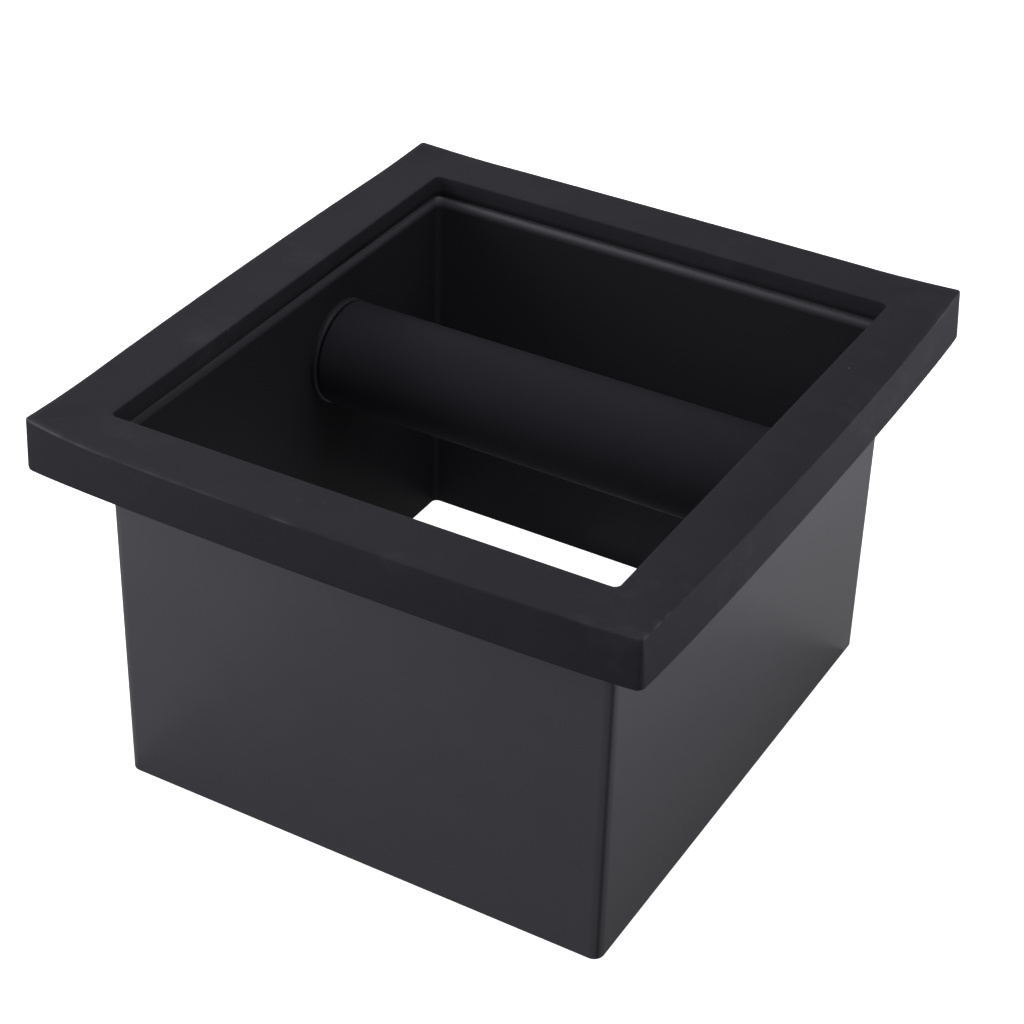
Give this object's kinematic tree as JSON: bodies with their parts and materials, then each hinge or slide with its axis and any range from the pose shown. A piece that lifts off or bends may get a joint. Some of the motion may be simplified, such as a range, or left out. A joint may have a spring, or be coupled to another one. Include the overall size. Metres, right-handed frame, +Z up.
{
  "type": "espresso knock box",
  "caption": "Drop-in knock chute for spent coffee: open-bottomed coated steel box hung from a rubber-clad flange, with a rubber-sleeved knock bar across it that can turn.",
  "frame": {"origin": "centre of the open bottom, in the plane of the walls' lower edge", "axes": "+Z up towards the rubber rim, +X along the front and parallel to the knock bar, +Y from the front to the back, where the knock bar sits nearer"},
  "size_m": [0.181, 0.1986, 0.118],
  "materials": {
    "coated_steel": "fine satin black powder coat",
    "rim_rubber": "matte moulded black rubber",
    "sleeve_rubber": "smooth matte black rubber",
    "stainless_steel": "bright turned stainless steel"
  },
  "bodies": {
    "chute": {"chute_body": "coated_steel", "rim_gasket": "rim_rubber", "bar_tube": "stainless_steel", "bar_plug_left": "stainless_steel", "bar_plug_right": "stainless_steel", "bar_collar_left": "coated_steel", "bar_collar_right": "coated_steel", "bar_screw_left": "stainless_steel", "bar_screw_right": "stainless_steel"},
    "sleeve": {"bar_sleeve": "sleeve_rubber"}
  },
  "joints": [
    {"name": "sleeve_spin", "type": "hinge", "parent": "chute", "child": "sleeve", "pos_m": [0, 0.026, 0.083], "axis": [1, 0, 0], "continuous": true}
  ]
}
